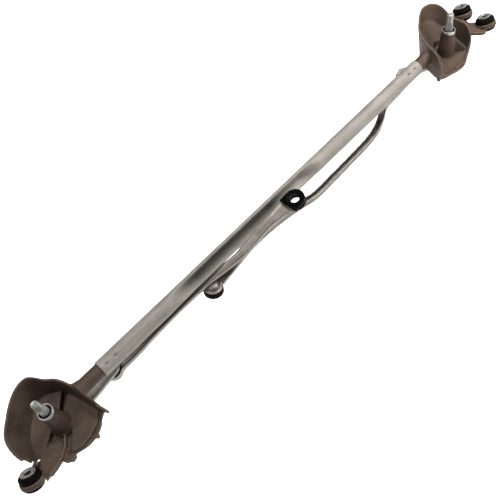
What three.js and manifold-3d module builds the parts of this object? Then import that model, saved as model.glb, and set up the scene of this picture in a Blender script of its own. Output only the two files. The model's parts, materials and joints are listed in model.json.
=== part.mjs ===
// Windshield wiper linkage: a crimped cross tube joins two die-cast pivot housings.
// Each housing carries a bushed wiper shaft with a crank lever, and each lever drives a pressed rod.
// Millimetres. X runs along the tube from left to right, Y away from the front, Z up.
// Every piece is placed from the tube's axis, midway along its flattened stretch.
// The whole linkage is then moved so that the origin is the centre of its box.
import * as THREE from 'three';
import { mergeVertices } from 'three/addons/utils/BufferGeometryUtils.js';
import Module from 'manifold-3d';

const wasm = await Module();
wasm.setup();
const { Manifold, Mesh: ManifoldMesh } = wasm;

// ---- driving dimensions ----
const FIT = 0.3;                    // clearance between two pieces that touch
const ROUND = 24;                   // facets on a round piece
const TO_CENTRE = [-67.5, -7.3, 5.4]; // from the tube's middle to the centre of the box

const TUBE = {
  left: -251, right: 375, radius: 11, wall: 1.5, facets: 26,
  dentStart: -148, dentFullFrom: -92, dentFullTo: 112, dentEnd: 152,
  dentDepth: 15.5, dentTurn: 150,   // the dent faces the front and somewhat up
  dimpleRadius: 3.4, dimpleDepth: 1.1,
};

const SPIGOT = { plugRadius: 9.2, plugDepth: 30, neckRadius: 9.6, rootRadius: 12, rootLength: 10 };

// Each side's frame: its origin is on the tube's axis, where the shaft's axis crosses it.
// Lengths along the shaft count from that origin. An eye is a rubber-mounted fastening point.
const LEFT = {
  name: 'left', x: -328, lean: -8.5, ringHeight: 18, wallX: -284, ball: [86, 9.5],
  eyes: [{ name: 'left_mount', centre: [-68.5, -25, -22.5], axis: [0.33, 0.5, 0.8] }],
};
const RIGHT = {
  name: 'right', x: 452, lean: 6.3, ringHeight: 15, wallX: 398, ball: [-62, 30],
  eyes: [
    { name: 'right_mount_a', centre: [77, 24, -10], axis: [0, 0.4, 0.92] },
    { name: 'right_mount_b', centre: [76, -18.5, -10], axis: [0, 0.4, 0.92] },
  ],
};

const SHAFT = {
  radius: 6, threadRadius: 5, threadLength: 15, knurlLength: 11, knurlTopRadius: 5.4,
  chamfer: 1.4, above: 27, bottom: -47, grooveRadius: 5.3,
};

const TOWER = { ringRadius: 10.3, baseRadius: 12.2, footRadius: 15.5, bore: 8.2, bottom: -38, recess: 6 };
const BUSH = { outer: 7.9, inner: 6.3, length: 16 };
const SEAL = { top: 1.6, height: 1.5 };
const CLIP = { top: 3.6, thickness: 1.1, opening: 2.2 };
const SHIM = { top: 5, thickness: 0.7 };

const LEVER = { thickness: 5, top: -39.6, pivotRadius: 12.5, ballRadius: 10.5, waist: 8 };
const BALL = { radius: 6.5, height: -53.6, neckRadius: 3.8, rivetRadius: 5.4, rivetHeight: 2 };

const ROD = { sheet: 2, eyeHole: 10.3, eyeRadius: 12.4, cupRadius: 12.8, cupWall: 1.7, cupHeight: 8 };
const SOCKET = { throat: 5.2, body: 10, flange: 2.6, clearance: 0.35 };
const EMPTY_SOCKET = { bore: 7.3, throat: 6.9, flangeRadius: 14, flange: 4.6 };
const DOMED_SOCKET = { radius: 13.6, plug: 7.4, plugTop: 3.2, bottom: -9 };

const GROMMET = {
  radius: 14, neckRadius: 11, bore: 6.4, top: 11.6, bottom: -8.4, neckHeight: 7.8, edge: 1.8,
};
const SLEEVE = { outer: 6, inner: 4.25, flangeRadius: 9.8, flange: 1.4 };
const EYE = { radius: 15.4, hole: 11.4, height: 7 };

// ---- colours and finishes ----
const FINISH = {
  casting: { color: 0x5f5145, roughness: 0.8, metalness: 0.25 },
  tube: { color: 0xa8a29a, roughness: 0.4, metalness: 0.8 },
  rod: { color: 0x857b6f, roughness: 0.5, metalness: 0.7 },
  zinc: { color: 0xd2ccc0, roughness: 0.4, metalness: 0.6 },
  plated: { color: 0xa3a69d, roughness: 0.35, metalness: 0.85 },
  bronze: { color: 0x9a7442, roughness: 0.6, metalness: 0.8 },
  plastic: { color: 0x141415, roughness: 0.5, metalness: 0 },
  rubber: { color: 0x0d0d0e, roughness: 0.85, metalness: 0 },
};

// ---- small helpers ----
const degrees = THREE.MathUtils.degToRad;
const v3 = (x, y, z) => new THREE.Vector3(x, y, z);

/** A closed manifold solid from any three.js geometry. */
function solid(geometry) {
  const bare = new THREE.BufferGeometry();
  bare.setAttribute('position', geometry.getAttribute('position').clone());
  if (geometry.index) bare.setIndex(geometry.index.clone());
  const merged = mergeVertices(bare, 1e-4);
  const wound = (triVerts) => new Manifold(new ManifoldMesh({
    numProp: 3,
    vertProperties: new Float32Array(merged.getAttribute('position').array),
    triVerts: new Uint32Array(triVerts),
  }));
  const body = wound(merged.index.array);
  return body.volume() > 0 ? body : wound(merged.index.array.slice().reverse());
}

/** A three.js geometry from a manifold solid. */
function toGeometry(body) {
  const mesh = body.getMesh();
  const geometry = new THREE.BufferGeometry();
  geometry.setAttribute('position', new THREE.BufferAttribute(mesh.vertProperties, 3));
  geometry.setIndex(new THREE.BufferAttribute(mesh.triVerts, 1));
  const flat = geometry.toNonIndexed();
  flat.computeVertexNormals();
  return flat;
}

const union = (...bodies) => bodies.reduce((all, body) => all.add(body));

/** The largest body of a solid, with any sealed hollow inside it filled. */
function cleaned(body) {
  const parts = body.decompose().filter((part) => part.volume() > 0);
  return parts.reduce((best, part) => (part.volume() > best.volume() ? part : best));
}

/** Moves a solid by a three.js matrix. */
function place(body, matrix) {
  return body.transform([...matrix.elements]);
}

/** A turned solid about Z from [radius, height] points. */
function turned(profile, facets = ROUND) {
  const points = profile.map(([radius, height]) => new THREE.Vector2(radius, height));
  const geometry = new THREE.LatheGeometry(points, facets);
  geometry.rotateX(Math.PI / 2);
  return solid(geometry);
}

/** A cylinder about Z between two heights. */
function rod(radius, low, high, facets = ROUND) {
  return turned([[0, low], [radius, low], [radius, high], [0, high]], facets);
}

/** A ring about Z. */
function ring(outer, inner, low, high, facets = ROUND) {
  const profile = [[inner, low], [outer, low], [outer, high], [inner, high], [inner, low]];
  return turned(profile, facets);
}

/** A flat plate from a closed outline, between two heights. */
function plate(outline, low, high) {
  const shape = new THREE.Shape(outline.map(([x, y]) => new THREE.Vector2(x, y)));
  const geometry = new THREE.ExtrudeGeometry(shape, { depth: high - low, bevelEnabled: false });
  geometry.translate(0, 0, low);
  return solid(geometry);
}

/** Skins equal-length closed rings of points one after another and caps the first and the last. */
function skinned(rings, firstOutline, lastOutline = firstOutline) {
  const count = rings[0].length;
  const positions = rings.flat().flatMap((p) => [p.x, p.y, p.z]);
  const index = [];
  for (let r = 0; r < rings.length - 1; r += 1) {
    for (let i = 0; i < count; i += 1) {
      const a = r * count + i;
      const b = r * count + (i + 1) % count;
      index.push(a, b, b + count, a, b + count, a + count);
    }
  }
  const last = (rings.length - 1) * count;
  for (const [a, b, c] of THREE.ShapeUtils.triangulateShape(firstOutline, [])) index.push(a, c, b);
  for (const [a, b, c] of THREE.ShapeUtils.triangulateShape(lastOutline, [])) {
    index.push(last + a, last + b, last + c);
  }
  const geometry = new THREE.BufferGeometry();
  geometry.setAttribute('position', new THREE.Float32BufferAttribute(positions, 3));
  geometry.setIndex(index);
  return solid(geometry);
}

/** A pill-shaped outline: two round ends joined by straight tangents, thinner at the waist. */
function leverOutline(length, pivotRadius, endRadius, waist) {
  const outline = [];
  const steps = 14;
  for (let i = 0; i <= steps; i += 1) {
    const angle = Math.PI / 2 + (Math.PI * i) / steps;
    outline.push([pivotRadius * Math.cos(angle), pivotRadius * Math.sin(angle)]);
  }
  outline.push([length / 2, -waist]);
  for (let i = 0; i <= steps; i += 1) {
    const angle = -Math.PI / 2 + (Math.PI * i) / steps;
    outline.push([length + endRadius * Math.cos(angle), endRadius * Math.sin(angle)]);
  }
  outline.push([length / 2, waist]);
  return outline;
}

/** The matrix that takes a side's own frame to the object's frame. */
function sideMatrix(side) {
  const turn = new THREE.Matrix4().makeRotationY(degrees(side.lean));
  return new THREE.Matrix4().makeTranslation(side.x, 0, 0).multiply(turn);
}

/** The matrix of a fastening eye: its centre in the side's frame and the way its axis points. */
function eyeMatrix(eye) {
  const axis = v3(...eye.axis).normalize();
  const turn = new THREE.Quaternion().setFromUnitVectors(v3(0, 0, 1), axis);
  return new THREE.Matrix4().compose(v3(...eye.centre), turn, v3(1, 1, 1));
}

const smooth = (t) => {
  const s = Math.min(1, Math.max(0, t));
  return s * s * (3 - 2 * s);
};

// ---- cross tube ----
/** How deep the tube is pressed in at a place along it. */
function dentAt(x) {
  const rise = smooth((x - TUBE.dentStart) / (TUBE.dentFullFrom - TUBE.dentStart));
  const fall = smooth((TUBE.dentEnd - x) / (TUBE.dentEnd - TUBE.dentFullTo));
  return TUBE.dentDepth * Math.min(rise, fall);
}

/** A closed section of the tube's wall, offset from its middle line. */
function tubeSection(x, offset) {
  const depth = dentAt(x);
  const middle = TUBE.radius - TUBE.wall / 2;
  const line = (angle) => {
    const facing = Math.max(0, Math.cos(angle));
    return new THREE.Vector2(middle * Math.cos(angle) - depth * facing * facing, middle * Math.sin(angle));
  };
  const turn = degrees(TUBE.dentTurn);
  const points = [];
  for (let i = 0; i < TUBE.facets; i += 1) {
    const angle = (2 * Math.PI * i) / TUBE.facets;
    const tangent = line(angle + 0.01).sub(line(angle - 0.01)).normalize();
    const p = line(angle).add(new THREE.Vector2(tangent.y, -tangent.x).multiplyScalar(offset));
    p.rotateAround(new THREE.Vector2(0, 0), turn);
    points.push(v3(x, p.x, p.y));
  }
  return points;
}

function tubeStations() {
  const stations = [TUBE.left, TUBE.dentStart];
  const ramps = [[TUBE.dentStart, TUBE.dentFullFrom, 9], [TUBE.dentFullTo, TUBE.dentEnd, 8]];
  for (const [from, to, steps] of ramps) {
    for (let i = 1; i <= steps; i += 1) stations.push(from + ((to - from) * i) / steps);
    if (to === TUBE.dentFullFrom) stations.push(TUBE.dentFullTo);
  }
  stations.push(TUBE.right);
  return stations;
}

function crossTube() {
  const stations = tubeStations();
  const circle = (offset) => {
    const section = tubeSection(TUBE.left, offset);
    return section.map((p) => new THREE.Vector2(p.y, p.z));
  };
  const outside = skinned(stations.map((x) => tubeSection(x, TUBE.wall / 2)), circle(1));
  const ends = stations.map((x) => x);
  ends[0] -= 1;
  ends[ends.length - 1] += 1;
  const inside = skinned(ends.map((x) => tubeSection(x, -TUBE.wall / 2)), circle(-1));
  let tube = outside.subtract(inside);
  const dimple = new THREE.SphereGeometry(TUBE.dimpleRadius, 12, 8);
  const reach = TUBE.radius + TUBE.dimpleRadius - TUBE.dimpleDepth;
  for (const x of [TUBE.left + 9, TUBE.left + 23, TUBE.right - 11, TUBE.right - 25]) {
    for (const turn of [122, 302]) {
      const at = [x, reach * Math.cos(degrees(turn)), reach * Math.sin(degrees(turn))];
      tube = tube.subtract(solid(dimple).translate(at));
    }
  }
  return tube;
}

// ---- pivot housings ----
/**
 * A cast cup from pairs of outline points: where its wall meets the floor and where its rim is.
 * Each point is [floor x, floor y, rim x, rim y, rim height].
 */
function castCup(outline, floorTop, floorBottom, wall, steps) {
  const floorLine = new THREE.CatmullRomCurve3(outline.map((p) => v3(p[0], p[1], 0)), true, 'centripetal');
  const rimLine = new THREE.CatmullRomCurve3(outline.map((p) => v3(p[2], p[3], p[4])), true, 'centripetal');
  const sample = (curve, i) => curve.getPoint(i / steps);
  const inward = (p) => v3(-p.x, -p.y, 0).normalize();
  const rings = [[], [], [], [], [], []];
  for (let i = 0; i < steps; i += 1) {
    const floor = sample(floorLine, i);
    const rim = sample(rimLine, i);
    const floorIn = inward(floor);
    const rimIn = inward(rim);
    const put = (ringIndex, base, direction, amount, height) => {
      const p = base.clone().addScaledVector(direction, amount);
      p.z = height;
      rings[ringIndex].push(p);
    };
    put(0, floor, floorIn, 1.5, floorBottom);
    put(1, floor, floorIn, 0, floorBottom + 2);
    put(2, rim, rimIn, 0, rim.z - 1);
    put(3, rim, rimIn, 0.8, rim.z);
    put(4, rim, rimIn, wall, rim.z - 0.6);
    put(5, floor, floorIn, wall + 2.5, floorTop);
  }
  const bottom = rings[0].map((p) => new THREE.Vector2(p.x, p.y));
  const top = rings[5].map((p) => new THREE.Vector2(p.x, p.y));
  return skinned(rings, bottom, top);
}

/** A straight rib standing on the floor between two points, sloping between two heights. */
function rib(from, to, thickness, low, highFrom, highTo) {
  const along = new THREE.Vector2(to[0] - from[0], to[1] - from[1]);
  const side = new THREE.Vector2(-along.y, along.x).normalize().multiplyScalar(thickness / 2);
  const section = (point, high) => [
    v3(point[0] - side.x, point[1] - side.y, low), v3(point[0] + side.x, point[1] + side.y, low),
    v3(point[0] + side.x, point[1] + side.y, high), v3(point[0] - side.x, point[1] - side.y, high),
  ];
  const square = [[0, 0], [1, 0], [1, 1], [0, 1]].map(([x, y]) => new THREE.Vector2(x, y));
  return skinned([section(to, highTo), section(from, highFrom)], square);
}

function tower(side) {
  const top = side.ringHeight;
  const { ringRadius, baseRadius, footRadius, bottom } = TOWER;
  return turned([
    [0, bottom], [footRadius, bottom], [footRadius, bottom + 7], [baseRadius + 0.8, bottom + 12],
    [baseRadius, bottom + 18],
    [ringRadius, top - 6], [ringRadius, top - 0.8], [ringRadius - 0.8, top], [0, top],
  ]);
}

function towerBore(side) {
  return rod(TOWER.bore, TOWER.bottom - 5, side.ringHeight + 5);
}

/** The spigot in the object's frame: a neck from the housing's wall and a plug inside the tube. */
function spigot(wallX, tubeEnd) {
  const way = Math.sign(tubeEnd - wallX);
  const length = Math.abs(tubeEnd - wallX) - FIT;
  const profile = [
    [0, 0], [SPIGOT.rootRadius, 0], [SPIGOT.neckRadius, SPIGOT.rootLength], [SPIGOT.neckRadius, length],
    [SPIGOT.plugRadius, length], [SPIGOT.plugRadius, length + SPIGOT.plugDepth - 2],
    [SPIGOT.plugRadius - 2, length + SPIGOT.plugDepth], [0, length + SPIGOT.plugDepth],
  ];
  const matrix = new THREE.Matrix4().makeTranslation(wallX, 0, 0)
    .multiply(new THREE.Matrix4().makeRotationY((way * Math.PI) / 2));
  return place(turned(profile), matrix);
}

/** A fastening eye on an arm, in the side's frame. */
function eyeRing(eye) {
  const half = EYE.height / 2;
  return place(rod(EYE.radius, -half, half), eyeMatrix(eye));
}

function eyeHole(eye) {
  const half = EYE.height / 2;
  const around = GROMMET.radius + FIT;
  const hole = rod(EYE.hole, 2 * GROMMET.bottom, 2 * GROMMET.top);
  const above = rod(around, half, 2 * GROMMET.top);
  const below = rod(around, 2 * GROMMET.bottom, -half);
  return place(union(hole, above, below), eyeMatrix(eye));
}

// Outline points of the two cups: floor x, floor y, rim x, rim y, rim height.
const LEFT_CUP = [
  [42, -22, 45.5, -24, -9], [41, -4, 43.5, -4, 1], [38, 12, 40, 14, 5], [32, 30, 34, 29, 7],
  [20, 41, 25, 40, 7], [9, 46, 18, 53, 8], [-2, 47, 11, 60.5, 8.5], [-12, 43, -3, 61.5, 8.5],
  [-22, 35, -20, 55, 8], [-33, 25, -40, 41, 6], [-42, 14, -55, 27, 4], [-46, 1, -61, 10, -2],
  [-49, -11, -60, -6, -9], [-43, -24, -54, -18, -17], [-28, -32, -31, -31, -29],
  [-12, -39, -13, -40, -31], [4, -44, 4, -45, -31], [18, -43, 19, -44, -31], [28, -39, 29, -40, -31],
  [35, -33, 36, -35, -28], [40, -30, 45, -37, -17],
];
const RIGHT_CUP = [
  [38, -17, 41, -17, -10], [43, -3, 48, -2, 0], [44, 14, 50, 14, 0], [40, 27, 48, 28, 3],
  [36, 37, 45, 38, 12], [28, 42, 42, 48, 17], [14, 45, 32, 57, 20], [0, 43, 17, 60, 20],
  [-14, 37, 1, 54, 20], [-26, 29, -15, 44, 19], [-35, 19, -29, 34, 18], [-41, 10, -40, 21, 16],
  [-46, 0, -48, 7, 15], [-51, -11, -54, -8, 14], [-54, -20, -57, -19, 11], [-55, -27, -60, -28, 4],
  [-48, -32, -51, -33, -24], [-34, -35, -35, -36, -27], [-20, -38, -20, -39, -27],
  [-6, -38, -6, -39, -27], [10, -31, 11, -32, -26], [26, -24, 27, -25, -25],
];

// The sloping apron between the right cup's wall and the pocket about its tower.
// Each station is cup point, how far up the wall, then the pocket edge's x, y, z.
const RIGHT_APRON = [
  [3, 0.3, 19, 13, -23], [4, 0.4, 16, 17, -21], [5, 0.5, 10, 20, -19], [6, 0.6, 3, 21, -17],
  [7, 0.68, -5, 19, -16], [8, 0.76, -11, 16, -16], [9, 0.84, -16, 10, -16], [10, 0.86, -18, 4, -18],
  [11, 0.86, -19, -1, -20], [12, 0.84, -20, -7, -22], [13, 0.78, -22, -13, -25], [14, 0.66, -24, -19, -27],
  [15, 0.5, -27, -25, -28.5], [16, 0.3, -30, -31, -28.8],
];

/** Walls off part of a cup's floor as a raised block whose top slopes as slope(x, y) says. */
function raised(outline, low, slope) {
  const flat = outline.map(([x, y]) => new THREE.Vector2(x, y));
  if (THREE.ShapeUtils.isClockWise(flat)) flat.reverse();
  const bottom = flat.map((p) => v3(p.x, p.y, low));
  const top = flat.map((p) => v3(p.x, p.y, slope(p.x, p.y)));
  return skinned([bottom, top], flat);
}

/** An apron from partway up a cup's wall down to a line of points on its floor. */
function apron(cup, stations, low) {
  const wallInset = 0.965;
  const rings = stations.map(([index, up, x, y, z]) => {
    const [floorX, floorY, rimX, rimY, rimZ] = cup[index];
    const mix = (from, to) => (from + (to - from) * up) * wallInset;
    return [
      v3(mix(floorX, rimX), mix(floorY, rimY), low + (rimZ - low) * up),
      v3(x, y, z), v3(x, y, low), v3(floorX * wallInset, floorY * wallInset, low),
    ];
  });
  const section = [[1, 1], [0, 0.5], [0, 0], [1, 0]].map(([x, y]) => new THREE.Vector2(x, y));
  return skinned(rings, section);
}

/** A rib that runs through several floor points, each [x, y, height]. */
function ribChain(points, thickness, low) {
  const ribs = [];
  for (let i = 0; i < points.length - 1; i += 1) {
    const [from, to] = [points[i], points[i + 1]];
    ribs.push(rib(from, to, thickness, low, from[2], to[2]));
    ribs.push(rod(thickness / 2, low, Math.min(from[2], to[2]), 8).translate([to[0], to[1], 0]));
  }
  return union(...ribs);
}

function leftHousing() {
  const side = LEFT;
  const [eye] = side.eyes;
  const arm = raised([
    [-16, -8], [-34, 0], [-50, -4], [-62, -10], [-72, -20], [-62, -35], [-48, -33], [-30, -31], [-14, -30],
  ], -35, (x) => -31.5 + 0.16 * Math.max(0, -24 - x));
  const armGap = raised([
    [-49, -15], [-40, -10], [-26, -22], [-28, -31], [-44, -38], [-62, -30],
  ], -33.5, () => 20);
  const armEdge = ribChain([
    [-5, -9, -28], [-16, -23, -27.5], [-27, -30, -27], [-40, -33, -25.5], [-50, -34, -23.5],
  ], 2.6, -35);
  const leftPlateau = raised([
    [-12, 5], [-44, -12], [-46, -2], [-44, 6], [-36, 20], [-24, 32], [-11, 41], [0, 45], [9, 44],
    [19, 39], [28, 30], [10, 15],
  ], -36, (x) => -25 + x * 0.05);
  const rightPlateau = raised([
    [13, 11], [33, 24], [36, 14], [39, -4], [40, -20], [37, -28], [30, -34], [24, -37], [12, -40.5],
    [-2, -41], [-15, -36], [10, -9],
  ], -36, () => -26.5);
  const foot = plate([[-28, -30], [-16, -37], [-15, -41], [-22, -42.5], [-30, -35]], -38, -31);
  const lug = rod(2.8, -37, -31, 12).translate([17, -44.5, 0]);
  const slot = raised([[-55, -12], [-49, -13], [-46, -9], [-48, -5], [-54, -7]], -60, () => 0);
  const cast = castCup(LEFT_CUP, -34, -38, 3.2, 64).subtract(armGap)
    .add(arm).add(armEdge).add(leftPlateau).add(rightPlateau).add(foot).add(lug)
    .add(rib([43, -28], [46, -41], 3.2, -26, -10, -15))
    .add(tower(side)).subtract(slot).add(eyeRing(eye))
    .subtract(towerBore(side)).subtract(eyeHole(eye));
  return cleaned(place(cast, sideMatrix(side)).add(spigot(side.wallX - 3, TUBE.left)));
}

function rightHousing() {
  const side = RIGHT;
  const ears = plate([
    [46, -14], [47, 30], [62, 37], [78, 34], [72, 18], [66, 4], [84, -14], [74, -32], [56, -26],
  ], -17, -11);
  let cast = castCup(RIGHT_CUP, -29, -33, 3.2, 64)
    .add(apron(RIGHT_CUP, RIGHT_APRON, -31))
    .add(rib([6, -6], [27, -18], 3.6, -31, 3, -26))
    .add(rib([-22, -33], [4, -34], 3, -32, -26, -26))
    .add(rod(3.2, -31, 2, 14).translate([-58, -28, 0]))
    .add(tower(side));
  for (const eye of side.eyes) cast = cast.add(eyeRing(eye));
  cast = cast.add(ears);
  for (const eye of side.eyes) cast = cast.subtract(eyeHole(eye));
  cast = cast.subtract(towerBore(side));
  return cleaned(place(cast, sideMatrix(side)).add(spigot(side.wallX + 3, TUBE.right)));
}

// ---- shafts, bushes and what holds them ----
function shaft(side) {
  const top = side.ringHeight + SHAFT.above;
  const threadBase = top - SHAFT.threadLength;
  const knurlBase = threadBase - SHAFT.knurlLength;
  const grooveTop = side.ringHeight - CLIP.top + 0.1;
  const grooveLow = grooveTop - CLIP.thickness - 0.2;
  return turned([
    [0, SHAFT.bottom], [SHAFT.radius, SHAFT.bottom], [SHAFT.radius, grooveLow],
    [SHAFT.grooveRadius, grooveLow], [SHAFT.grooveRadius, grooveTop],
    [SHAFT.radius, grooveTop], [SHAFT.radius, knurlBase],
    [SHAFT.knurlTopRadius, threadBase], [SHAFT.threadRadius, threadBase + 0.5],
    [SHAFT.threadRadius, top - SHAFT.chamfer], [SHAFT.threadRadius - SHAFT.chamfer, top], [0, top],
  ]);
}

function bush(low) {
  return ring(BUSH.outer, BUSH.inner, low, low + BUSH.length);
}

/** A flat ring about the shaft whose top is a given depth below the tower's bright rim. */
function recessed(side, inner, depth, thickness) {
  const high = side.ringHeight - depth;
  return ring(BUSH.outer, inner, high - thickness, high);
}

function retainingRing(side) {
  const half = CLIP.opening;
  const gap = plate([[0, -half], [12, -half - 1], [12, half + 1], [0, half]], -60, 60);
  return recessed(side, SHAFT.grooveRadius + 0.2, CLIP.top, CLIP.thickness).subtract(gap);
}

// ---- levers and ball studs ----
function lever(side) {
  const [x, y] = side.ball;
  const length = Math.hypot(x, y);
  const low = LEVER.top - LEVER.thickness;
  const { pivotRadius, ballRadius, waist } = LEVER;
  let body = plate(leverOutline(length, pivotRadius, ballRadius, waist), low, LEVER.top);
  body = body.add(rod(pivotRadius - 1.5, low - 1.4, low + 1));
  body = body.subtract(rod(SHAFT.radius + FIT, low - 4, LEVER.top + 4));
  body = body.subtract(rod(BALL.neckRadius + FIT, low - 4, LEVER.top + 4).translate([length, 0, 0]));
  return body.rotate([0, 0, THREE.MathUtils.radToDeg(Math.atan2(y, x))]);
}

function ballStud(side) {
  const low = LEVER.top - LEVER.thickness;
  const steps = 6;
  const profile = [[0, BALL.height - BALL.radius]];
  const neckAngle = Math.acos(BALL.neckRadius / BALL.radius);
  for (let i = 1; i <= steps; i += 1) {
    const angle = -Math.PI / 2 + ((Math.PI / 2 + neckAngle) * i) / steps;
    profile.push([BALL.radius * Math.cos(angle), BALL.height + BALL.radius * Math.sin(angle)]);
  }
  profile.push([BALL.neckRadius, low - FIT - 1], [BALL.rivetRadius, low - FIT - 1]);
  profile.push([BALL.rivetRadius, low - FIT], [BALL.neckRadius, low - FIT]);
  profile.push([BALL.neckRadius, LEVER.top + FIT], [BALL.rivetRadius, LEVER.top + FIT]);
  profile.push([BALL.rivetRadius - 1.2, LEVER.top + FIT + BALL.rivetHeight]);
  profile.push([0, LEVER.top + FIT + BALL.rivetHeight]);
  return turned(profile, 20).translate([side.ball[0], side.ball[1], 0]);
}

// ---- drive rods ----
/** A pressed channel along a path. Each station is [x, y, z, half width, flange height]. */
function channel(stations) {
  const { sheet } = ROD;
  const at = stations.map((s) => v3(s[0], s[1], s[2]));
  const rings = stations.map((station, i) => {
    const before = at[Math.max(0, i - 1)];
    const after = at[Math.min(at.length - 1, i + 1)];
    const along = after.clone().sub(before).normalize();
    const across = v3(0, 0, 1).cross(along).normalize();
    const up = along.clone().cross(across);
    const [, , , half, high] = station;
    const section = [
      [half, 0], [half, high], [half - sheet, high], [half - sheet, sheet],
      [sheet - half, sheet], [sheet - half, high], [-half, high], [-half, 0],
    ];
    return section.map(([a, b]) => at[i].clone().addScaledVector(across, a).addScaledVector(up, b));
  });
  const outline = [[8, 0], [8, 6], [6, 6], [6, 2], [-6, 2], [-6, 6], [-8, 6], [-8, 0]];
  return skinned(rings, outline.map(([x, y]) => new THREE.Vector2(x, y)));
}

/** Spreads extra stations along a path so that its bends come out round. */
function roundedPath(points, steps) {
  const curve = new THREE.CatmullRomCurve3(points.map((p) => v3(p[0], p[1], p[2])), false, 'centripetal');
  const stations = [];
  for (let i = 0; i <= steps; i += 1) {
    const u = (i / steps) * (points.length - 1);
    const k = Math.min(points.length - 2, Math.floor(u));
    const p = curve.getPoint(i / steps);
    const blend = u - k;
    const mix = (j) => points[k][j] * (1 - blend) + points[k + 1][j] * blend;
    stations.push([p.x, p.y, p.z, mix(3), mix(4)]);
  }
  return stations;
}

/** Where a rod's socket centre is in the object's frame. */
function ballPlace(side) {
  return v3(side.ball[0], side.ball[1], BALL.height).applyMatrix4(sideMatrix(side));
}

const LEFT_BALL = ballPlace(LEFT);
const RIGHT_BALL = ballPlace(RIGHT);

// Rod paths run along the middle of the channel's underside.
// Each point is x, y, z, half width, flange height.
const LEFT_ROD_PATH = [
  [LEFT_BALL.x + 9, LEFT_BALL.y - 0.5, LEFT_BALL.z + 0.4, 10, 7.5], [-202, 3.5, -32, 8.5, 7],
  [-170, 1.5, -26.5, 7.4, 6.5], [-130, -1.5, -20.6, 6.8, 5.6], [-100, -4.5, -17.2, 6.2, 4.6],
  [-76, -7, -15.4, 5.8, 3.6], [-50, -10.6, -13.6, 6, 3], [-36, -14, -10.8, 6.4, 3],
  [-24, -17.4, -6.6, 6.8, 3.2], [-2, -19.2, -0.4, 7.6, 3.6], [16, -19.6, 3.6, 7.6, 3.6],
  [38, -21.2, 6.8, 7.4, 3], [60, -24, 9.4, 11, 3],
];
const RIGHT_ROD_PATH = [
  [RIGHT_BALL.x - 9, RIGHT_BALL.y - 3, RIGHT_BALL.z, 11, 8], [358, 20.5, -43.6, 8, 8],
  [340, 17, -42.2, 6, 8.5], [322, 15, -41.4, 5, 8.5], [307, 9.5, -41, 5, 8.5], [290, 0.5, -40.6, 5, 8.5],
  [276, -5, -40.4, 5, 8.5], [262, -9, -40.2, 4.8, 8.5], [244, -11.4, -40, 4.7, 8.5],
  [200, -13, -40, 4.7, 8.5], [160, -14.2, -39.5, 4.7, 8.5], [132, -15.4, -38.5, 4.7, 8.5],
  [118, -14.8, -37.5, 4.8, 8.5], [104, -12, -36.4, 5, 8.5], [84, -8.6, -34.8, 5, 8.5],
  [60, -6.2, -33, 5, 8.5], [36, -4.8, -31.6, 5, 8], [0, -5.6, -29.4, 5.2, 7], [-30, -9.8, -27.2, 6, 5.5],
  [-52, -11.6, -24.9, 8, 3.5], [-64, -12.4, -23.9, 9.5, 3],
];
const LEFT_INNER = [77, -25.6, 10.8];
const RIGHT_INNER = [-75, -12.8, -23.4];

/** The matrix of a rod's end: at a point, square to the side's shaft. */
function endMatrix(side, point) {
  return new THREE.Matrix4().makeTranslation(...point)
    .multiply(new THREE.Matrix4().makeRotationY(degrees(side.lean)));
}

/** Where the underside of a rod's sheet is at its lever's ball. */
function outerPoint(ball) {
  return [ball.x, ball.y, ball.z - ROD.sheet / 2];
}

/** The flat eye at the left rod's centre end, bored for its empty socket. */
function boredEnd(channelBody, innerEnd) {
  const { flangeRadius } = EMPTY_SOCKET;
  const tongue = plate([[-24, -9], [-12, -11], [0, -11], [0, 11], [-12, 11], [-24, 9]], 0, ROD.sheet);
  return channelBody
    .subtract(place(rod(flangeRadius + FIT, ROD.sheet, 20), innerEnd))
    .subtract(place(rod(flangeRadius + FIT, -20, 0), innerEnd))
    .add(place(tongue, innerEnd))
    .add(place(rod(ROD.eyeRadius, 0, ROD.sheet), innerEnd))
    .subtract(place(rod(ROD.eyeHole, -12, 20), innerEnd));
}

/** The domed end of the right rod, which closes over the socket beneath it. */
function domedEnd(channelBody, innerEnd) {
  const dome = turned([
    [0, -1], [12.4, -1], [12.4, 2], [9.4, 2.2], [8.6, 4.6], [6.4, 6.4], [3.4, 7], [0, 7.2],
  ]);
  const hollow = turned([[0, -20], [DOMED_SOCKET.radius + FIT, -20], [DOMED_SOCKET.radius + FIT, -0.6],
    [DOMED_SOCKET.plug + FIT, -0.6], [DOMED_SOCKET.plug + FIT, DOMED_SOCKET.plugTop + FIT],
    [0, DOMED_SOCKET.plugTop + FIT]]);
  return channelBody.add(place(dome, innerEnd)).subtract(place(hollow, innerEnd));
}

function driveRod(side, path, inner, ball) {
  const outerEnd = endMatrix(side, outerPoint(ball));
  const innerEnd = endMatrix(side, inner);
  const { sheet, cupRadius, cupWall, cupHeight, eyeHole } = ROD;
  const body = channel(roundedPath(path, 40))
    .add(place(rod(cupRadius, 0, cupHeight), outerEnd))
    .subtract(place(rod(cupRadius - cupWall, sheet, 20), outerEnd))
    .subtract(place(rod(eyeHole, -12, 20), outerEnd));
  return side === LEFT ? boredEnd(body, innerEnd) : domedEnd(body, innerEnd);
}

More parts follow.
